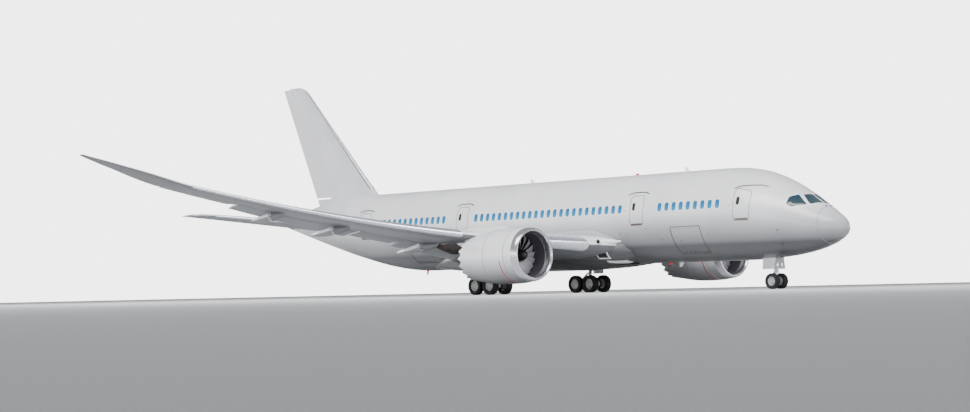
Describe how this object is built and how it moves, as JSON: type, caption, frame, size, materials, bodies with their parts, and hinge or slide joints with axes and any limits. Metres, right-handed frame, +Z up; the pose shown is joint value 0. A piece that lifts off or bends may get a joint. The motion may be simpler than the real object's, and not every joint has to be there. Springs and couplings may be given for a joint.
{
  "type": "twin-engine wide-body airliner, 1:2 scale model",
  "caption": "Airliner standing on its landing gear, with turning wheels and fans, a steered nose gear, hinged cargo doors, flaps, ailerons, elevators and rudder.",
  "frame": {"origin": "on the ground, below the middle of the aircraft's length and on its plane of symmetry", "axes": "+X forward to the nose, +Y to port along the span, +Z up"},
  "size_m": [28.325, 30.06, 8.44],
  "materials": {
    "white_paint": "gloss off-white aircraft enamel",
    "grey_paint": "satin grey aircraft enamel",
    "bare_metal": "polished bare leading edge skin",
    "dark_metal": "dark heat-tinted alloy",
    "engine_metal": "satin engine alloy",
    "gear_paint": "semi-gloss light grey gear paint",
    "rubber": "matt tyre rubber",
    "glass": "dark teal cockpit glazing"
  },
  "bodies": {
    "airframe": {"belly_fairing": "white_paint", "cockpit_windows": "glass", "engine_core_left": "engine_metal", "engine_core_right": "engine_metal", "exhaust_plug_left": "dark_metal", "exhaust_plug_right": "dark_metal", "fin": "white_paint", "fuselage_aft": "white_paint", "fuselage_centre": "white_paint", "fuselage_forward": "white_paint", "inlet_lip_left": "bare_metal", "inlet_lip_right": "bare_metal", "main_bogie_left": "gear_paint", "main_bogie_right": "gear_paint", "main_leg_door_left": "white_paint", "main_leg_door_right": "white_paint", "main_leg_left": "gear_paint", "main_leg_right": "gear_paint", "nacelle_left": "white_paint", "nacelle_right": "white_paint", "nose_door_left": "white_paint", "nose_door_right": "white_paint", "nose_leg": "gear_paint", "pylon_left": "white_paint", "pylon_right": "white_paint", "radome": "white_paint", "slat_inboard_left": "bare_metal", "slat_inboard_right": "bare_metal", "slat_outboard_left": "bare_metal", "slat_outboard_right": "bare_metal", "stabiliser_left": "white_paint", "stabiliser_right": "white_paint", "tail_cone": "white_paint", "wing_left": "grey_paint", "wing_right": "grey_paint"},
    "nose_gear_steering_body": {"nose_steering": "gear_paint"},
    "nose_wheel_roll_body": {"nose_wheels": "rubber"},
    "main_wheel_roll_front_left_body": {"main_wheels_front_left": "rubber"},
    "main_wheel_roll_rear_left_body": {"main_wheels_rear_left": "rubber"},
    "main_wheel_roll_front_right_body": {"main_wheels_front_right": "rubber"},
    "main_wheel_roll_rear_right_body": {"main_wheels_rear_right": "rubber"},
    "fan_spin_left_body": {"fan_left": "dark_metal"},
    "fan_spin_right_body": {"fan_right": "dark_metal"},
    "cargo_door_forward_hinge_body": {"cargo_door_forward": "white_paint"},
    "cargo_door_aft_hinge_body": {"cargo_door_aft": "white_paint"},
    "flap_inboard_hinge_left_body": {"flap_inboard_left": "grey_paint"},
    "flap_outboard_hinge_left_body": {"flap_outboard_left": "grey_paint"},
    "flaperon_hinge_left_body": {"flaperon_left": "grey_paint"},
    "aileron_hinge_left_body": {"aileron_left": "grey_paint"},
    "elevator_hinge_left_body": {"elevator_left": "white_paint"},
    "flap_inboard_hinge_right_body": {"flap_inboard_right": "grey_paint"},
    "flap_outboard_hinge_right_body": {"flap_outboard_right": "grey_paint"},
    "flaperon_hinge_right_body": {"flaperon_right": "grey_paint"},
    "aileron_hinge_right_body": {"aileron_right": "grey_paint"},
    "elevator_hinge_right_body": {"elevator_right": "white_paint"},
    "rudder_hinge_body": {"rudder": "white_paint"}
  },
  "joints": [
    {"name": "nose_gear_steering", "type": "hinge", "parent": "airframe", "child": "nose_gear_steering_body", "pos_m": [11.3125, 0, 0.6], "axis": [0, 0, 1], "range_deg": [-70, 70]},
    {"name": "nose_wheel_roll", "type": "hinge", "parent": "nose_gear_steering_body", "child": "nose_wheel_roll_body", "pos_m": [11.3125, 0, 0.25014], "axis": [0, 1, 0], "continuous": true},
    {"name": "main_wheel_roll_front_left", "type": "hinge", "parent": "airframe", "child": "main_wheel_roll_front_left_body", "pos_m": [1.0775, 2.45, 0.31268], "axis": [0, 1, 0], "continuous": true},
    {"name": "main_wheel_roll_rear_left", "type": "hinge", "parent": "airframe", "child": "main_wheel_roll_rear_left_body", "pos_m": [0.3475, 2.45, 0.31268], "axis": [0, 1, 0], "continuous": true},
    {"name": "main_wheel_roll_front_right", "type": "hinge", "parent": "airframe", "child": "main_wheel_roll_front_right_body", "pos_m": [1.0775, -2.45, 0.31268], "axis": [0, 1, 0], "continuous": true},
    {"name": "main_wheel_roll_rear_right", "type": "hinge", "parent": "airframe", "child": "main_wheel_roll_rear_right_body", "pos_m": [0.3475, -2.45, 0.31268], "axis": [0, 1, 0], "continuous": true},
    {"name": "fan_spin_left", "type": "hinge", "parent": "airframe", "child": "fan_spin_left_body", "pos_m": [5.71241, 4.9, 1.28154], "axis": [0.9997, 0, 0.0262], "continuous": true},
    {"name": "fan_spin_right", "type": "hinge", "parent": "airframe", "child": "fan_spin_right_body", "pos_m": [5.71241, -4.9, 1.28154], "axis": [0.9997, 0, 0.0262], "continuous": true},
    {"name": "cargo_door_forward_hinge", "type": "hinge", "parent": "airframe", "child": "cargo_door_forward_hinge_body", "pos_m": [8.7375, -1.39238, 2.035], "axis": [-1, 0, 0], "range_deg": [0, 130]},
    {"name": "cargo_door_aft_hinge", "type": "hinge", "parent": "airframe", "child": "cargo_door_aft_hinge_body", "pos_m": [-4.345, -1.35915, 1.925], "axis": [-1, 0, 0], "range_deg": [0, 130]},
    {"name": "flap_inboard_hinge_left", "type": "hinge", "parent": "airframe", "child": "flap_inboard_hinge_left_body", "pos_m": [0.30288, 3.73, 1.37189], "axis": [0.1267, -0.9768, -0.1728], "range_deg": [-16, 16]},
    {"name": "flap_outboard_hinge_left", "type": "hinge", "parent": "airframe", "child": "flap_outboard_hinge_left_body", "pos_m": [-1.43657, 9.0675, 2.50863], "axis": [0.3936, -0.8913, -0.225], "range_deg": [-16, 16]},
    {"name": "flaperon_hinge_left", "type": "hinge", "parent": "airframe", "child": "flaperon_hinge_left_body", "pos_m": [-0.31665, 6.4125, 2.14453], "axis": [0.3857, -0.9058, -0.1752], "range_deg": [-20, 16]},
    {"name": "aileron_hinge_left", "type": "hinge", "parent": "airframe", "child": "aileron_hinge_left_body", "pos_m": [-2.88051, 11.975, 3.48903], "axis": [0.4806, -0.8405, -0.2502], "range_deg": [-20, 16]},
    {"name": "elevator_hinge_left", "type": "hinge", "parent": "airframe", "child": "elevator_hinge_left_body", "pos_m": [-12.59771, 3.0125, 3.0316], "axis": [0.5135, -0.8507, -0.112], "range_deg": [-20, 20]},
    {"name": "flap_inboard_hinge_right", "type": "hinge", "parent": "airframe", "child": "flap_inboard_hinge_right_body", "pos_m": [0.30288, -3.73, 1.37189], "axis": [-0.1267, -0.9768, 0.1728], "range_deg": [-16, 16]},
    {"name": "flap_outboard_hinge_right", "type": "hinge", "parent": "airframe", "child": "flap_outboard_hinge_right_body", "pos_m": [-1.43657, -9.0675, 2.50863], "axis": [-0.3936, -0.8913, 0.225], "range_deg": [-16, 16]},
    {"name": "flaperon_hinge_right", "type": "hinge", "parent": "airframe", "child": "flaperon_hinge_right_body", "pos_m": [-0.31665, -6.4125, 2.14453], "axis": [-0.3857, -0.9058, 0.1752], "range_deg": [-20, 16]},
    {"name": "aileron_hinge_right", "type": "hinge", "parent": "airframe", "child": "aileron_hinge_right_body", "pos_m": [-2.88051, -11.975, 3.48903], "axis": [-0.4806, -0.8405, 0.2502], "range_deg": [-20, 16]},
    {"name": "elevator_hinge_right", "type": "hinge", "parent": "airframe", "child": "elevator_hinge_right_body", "pos_m": [-12.59771, -3.0125, 3.0316], "axis": [-0.5135, -0.8507, 0.112], "range_deg": [-20, 20]},
    {"name": "rudder_hinge", "type": "hinge", "parent": "airframe", "child": "rudder_hinge_body", "pos_m": [-12.24942, 0, 6.175], "axis": [-0.4922, 0, 0.8705], "range_deg": [-25, 25]}
  ]
}
